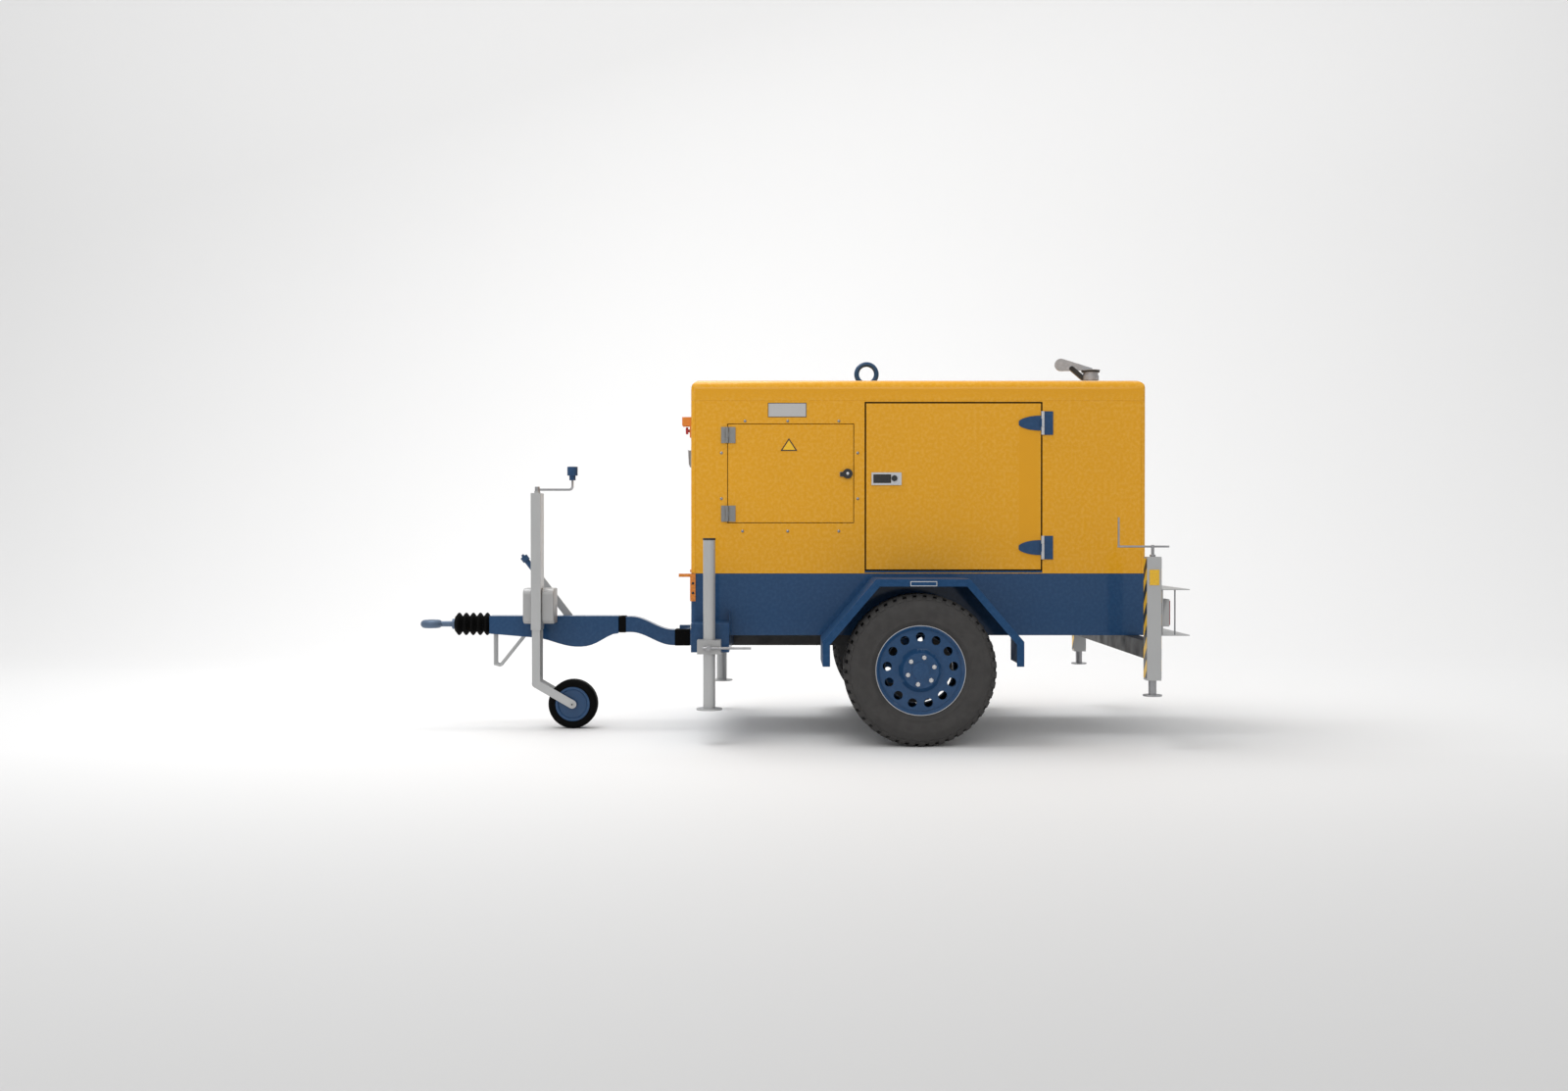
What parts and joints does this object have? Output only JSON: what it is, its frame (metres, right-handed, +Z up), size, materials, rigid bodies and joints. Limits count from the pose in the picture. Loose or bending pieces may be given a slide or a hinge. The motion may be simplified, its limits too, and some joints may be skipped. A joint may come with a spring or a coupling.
{
  "type": "towable diesel generator",
  "caption": "Single-axle road-tow generator set: boxed canopy with hinged doors, overrun drawbar with towing eye, jockey wheel and support legs.",
  "frame": {"origin": "on the ground under the middle of the overall length and width", "axes": "+Z up, -X towards the towing eye, -Y towards the side with the control panel door"},
  "size_m": [4.05, 1.932, 1.987],
  "materials": {
    "amber_plastic": "gloss",
    "black_plastic": "satin",
    "black_rubber": "matte",
    "black_steel": "satin",
    "blue_paint": "gloss",
    "engine_paint": "matte",
    "forged_steel": "satin",
    "grey_paint": "satin",
    "grey_plastic": "satin",
    "light_grey_paint": "satin",
    "orange_plastic": "satin",
    "panel_paint": "satin",
    "radiator_metal": "matte",
    "red_plastic": "gloss",
    "steel": "satin",
    "tyre_rubber": "matte",
    "yellow_paint": "gloss"
  },
  "bodies": {
    "chassis": {"base_frame": "blue_paint", "floor_pan": "black_steel", "fuel_tank": "black_steel", "canopy_near": "yellow_paint", "canopy_far": "yellow_paint", "canopy_ends": "yellow_paint", "roof": "yellow_paint", "door_seals": "black_rubber", "hinge_plates": "blue_paint", "lifting_eye": "blue_paint", "exhaust": "steel", "drawbar_beam": "blue_paint", "drawbar_tube": "blue_paint", "coupling_skid": "grey_paint", "jockey_clamp": "light_grey_paint", "front_leg_beam": "blue_paint", "leg_clamps": "light_grey_paint", "underframe": "black_steel", "rear_carrier": "grey_paint", "rear_leg_tubes": "grey_paint", "fenders": "blue_paint", "side_markers": "amber_plastic", "front_fittings": "orange_plastic", "engine": "engine_paint", "alternator": "black_steel", "radiator": "radiator_metal", "battery": "black_plastic", "instrument_panel": "panel_paint", "bellows": "black_rubber"},
    "tow_shank": {"tow_eye_shank": "forged_steel"},
    "brake_lever": {"brake_lever": "grey_paint"},
    "jockey_mast": {"jockey_mast": "grey_paint"},
    "jockey_leg": {"jockey_leg": "grey_paint"},
    "jockey_wheel": {"jockey_rim": "blue_paint", "jockey_tyre": "tyre_rubber"},
    "jockey_crank": {"jockey_crank": "steel"},
    "front_leg_near": {"front_leg_near": "grey_paint"},
    "front_leg_far": {"front_leg_far": "grey_paint"},
    "clamp_bar_near": {"clamp_bar_near": "steel"},
    "clamp_bar_far": {"clamp_bar_far": "steel"},
    "rear_leg_near": {"rear_leg_near": "steel"},
    "rear_leg_far": {"rear_leg_far": "steel"},
    "rear_crank_near": {"rear_crank_near": "steel"},
    "rear_crank_far": {"rear_crank_far": "steel"},
    "door_near": {"door_near": "yellow_paint"},
    "door_far": {"door_far": "yellow_paint"},
    "panel_door": {"panel_door": "yellow_paint"},
    "latch_near": {"latch_near": "black_plastic"},
    "latch_far": {"latch_far": "black_plastic"},
    "panel_lock": {"panel_lock": "black_plastic"},
    "rain_cap": {"rain_cap": "steel"},
    "stop_button": {"stop_button": "red_plastic"},
    "outlet_flap": {"outlet_flap": "grey_plastic"},
    "swing_arm_near": {"swing_arm_near": "black_steel"},
    "swing_arm_far": {"swing_arm_far": "black_steel"},
    "wheel_near": {"rim_near": "blue_paint", "tyre_near": "tyre_rubber"},
    "wheel_far": {"rim_far": "blue_paint", "tyre_far": "tyre_rubber"},
    "fan": {"cooling_fan": "black_plastic"}
  },
  "joints": [
    {"name": "overrun_slide", "type": "slide", "parent": "chassis", "child": "tow_shank", "axis": [1, 0, 0], "range_m": [0, 0.09], "stiffness_N_per_m": 4000, "springref_m": -0.1, "deforming": ["bellows"]},
    {"name": "brake_lever_pull", "type": "hinge", "parent": "chassis", "child": "brake_lever", "pos_m": [-1.217, 0.0605, 0.572], "axis": [0, 1, 0], "range_deg": [-20, 40]},
    {"name": "jockey_mast_slide", "type": "slide", "parent": "chassis", "child": "jockey_mast", "axis": [0, 0, 1], "range_m": [-0.3, 0.06]},
    {"name": "jockey_leg_slide", "type": "slide", "parent": "jockey_mast", "child": "jockey_leg", "axis": [0, 0, 1], "range_m": [-0.12, 0.24]},
    {"name": "jockey_crank_turn", "type": "hinge", "parent": "jockey_mast", "child": "jockey_crank", "pos_m": [-1.367, -0.15, 1.26], "axis": [0, 0, 1], "range_deg": [-7300, 14500]},
    {"name": "jockey_wheel_spin", "type": "hinge", "parent": "jockey_leg", "child": "jockey_wheel", "pos_m": [-1.175, -0.15, 0.13], "axis": [0, 1, 0], "continuous": true},
    {"name": "front_leg_slide_near", "type": "slide", "parent": "chassis", "child": "front_leg_near", "axis": [0, 0, 1], "range_m": [-0.166, 0.25]},
    {"name": "clamp_bar_turn_near", "type": "hinge", "parent": "chassis", "child": "clamp_bar_near", "pos_m": [-0.4195, -0.818, 0.474], "axis": [0, -1, 0], "range_deg": [0, 150]},
    {"name": "rear_leg_slide_near", "type": "slide", "parent": "chassis", "child": "rear_leg_near", "axis": [0, 0, 1], "range_m": [-0.2505, 0.06]},
    {"name": "rear_crank_turn_near", "type": "hinge", "parent": "chassis", "child": "rear_crank_near", "pos_m": [1.7325, -0.92, 0.974], "axis": [0, 0, 1], "range_deg": [-15100, 3700]},
    {"name": "door_swing_near", "type": "hinge", "parent": "chassis", "child": "door_near", "pos_m": [1.2707, -0.51, 1.283], "axis": [0, 0, 1], "range_deg": [0, 115]},
    {"name": "latch_pull_near", "type": "hinge", "parent": "door_near", "child": "latch_near", "pos_m": [0.414, -0.503, 1.317], "axis": [0, 0, -1], "range_deg": [0, 60], "stiffness_Nm_per_rad": 0.6, "springref_deg": -17.19},
    {"name": "swing_arm_near", "type": "hinge", "parent": "chassis", "child": "swing_arm_near", "pos_m": [0.4635, -0.6, 0.465], "axis": [0, -1, 0], "range_deg": [-12, 15], "stiffness_Nm_per_rad": 2600, "springref_deg": -22.92},
    {"name": "wheel_spin_near", "type": "hinge", "parent": "swing_arm_near", "child": "wheel_near", "pos_m": [0.6135, -0.8075, 0.372], "axis": [0, 1, 0], "continuous": true},
    {"name": "front_leg_slide_far", "type": "slide", "parent": "chassis", "child": "front_leg_far", "axis": [0, 0, 1], "range_m": [-0.166, 0.25]},
    {"name": "clamp_bar_turn_far", "type": "hinge", "parent": "chassis", "child": "clamp_bar_far", "pos_m": [-0.4195, 0.818, 0.474], "axis": [0, -1, 0], "range_deg": [0, 150]},
    {"name": "rear_leg_slide_far", "type": "slide", "parent": "chassis", "child": "rear_leg_far", "axis": [0, 0, 1], "range_m": [-0.2505, 0.06]},
    {"name": "rear_crank_turn_far", "type": "hinge", "parent": "chassis", "child": "rear_crank_far", "pos_m": [1.7325, 0.92, 0.974], "axis": [0, 0, 1], "range_deg": [-15100, 3700]},
    {"name": "door_swing_far", "type": "hinge", "parent": "chassis", "child": "door_far", "pos_m": [1.2707, 0.51, 1.283], "axis": [0, 0, -1], "range_deg": [0, 115]},
    {"name": "latch_pull_far", "type": "hinge", "parent": "door_far", "child": "latch_far", "pos_m": [0.414, 0.503, 1.317], "axis": [0, 0, 1], "range_deg": [0, 60], "stiffness_Nm_per_rad": 0.6, "springref_deg": -17.19},
    {"name": "swing_arm_far", "type": "hinge", "parent": "chassis", "child": "swing_arm_far", "pos_m": [0.4635, 0.6, 0.465], "axis": [0, -1, 0], "range_deg": [-12, 15], "stiffness_Nm_per_rad": 2600, "springref_deg": -22.92},
    {"name": "wheel_spin_far", "type": "hinge", "parent": "swing_arm_far", "child": "wheel_far", "pos_m": [0.6135, 0.8075, 0.372], "axis": [0, 1, 0], "continuous": true},
    {"name": "panel_door_swing", "type": "hinge", "parent": "chassis", "child": "panel_door", "pos_m": [-0.3406, -0.51, 1.339], "axis": [0, 0, -1], "range_deg": [0, 95]},
    {"name": "panel_lock_turn", "type": "hinge", "parent": "panel_door", "child": "panel_lock", "pos_m": [0.275, -0.5, 1.3426], "axis": [0, 1, 0], "range_deg": [0, 90]},
    {"name": "rain_cap_lift", "type": "hinge", "parent": "chassis", "child": "rain_cap", "pos_m": [1.512, 0, 1.933], "axis": [0, -1, 0], "range_deg": [0, 70]},
    {"name": "stop_button_push", "type": "slide", "parent": "chassis", "child": "stop_button", "axis": [1, 0, 0], "range_m": [0, 0.006], "stiffness_N_per_m": 600, "springref_m": -0.002},
    {"name": "outlet_flap_lift", "type": "hinge", "parent": "chassis", "child": "outlet_flap", "pos_m": [-0.541, -0.4, 1.462], "axis": [0, 1, 0], "range_deg": [0, 100], "stiffness_Nm_per_rad": 0.15, "springref_deg": -22.92},
    {"name": "fan_spin", "type": "hinge", "parent": "chassis", "child": "fan", "pos_m": [1.18, 0, 1.01], "axis": [1, 0, 0], "continuous": true}
  ],
  "couplings": [
    {"joint": "jockey_crank_turn", "follows": "jockey_leg_slide", "rad_per_m": 1047.2},
    {"joint": "rear_crank_turn_near", "follows": "rear_leg_slide_near", "rad_per_m": 1047.2},
    {"joint": "rear_crank_turn_far", "follows": "rear_leg_slide_far", "rad_per_m": 1047.2}
  ]
}
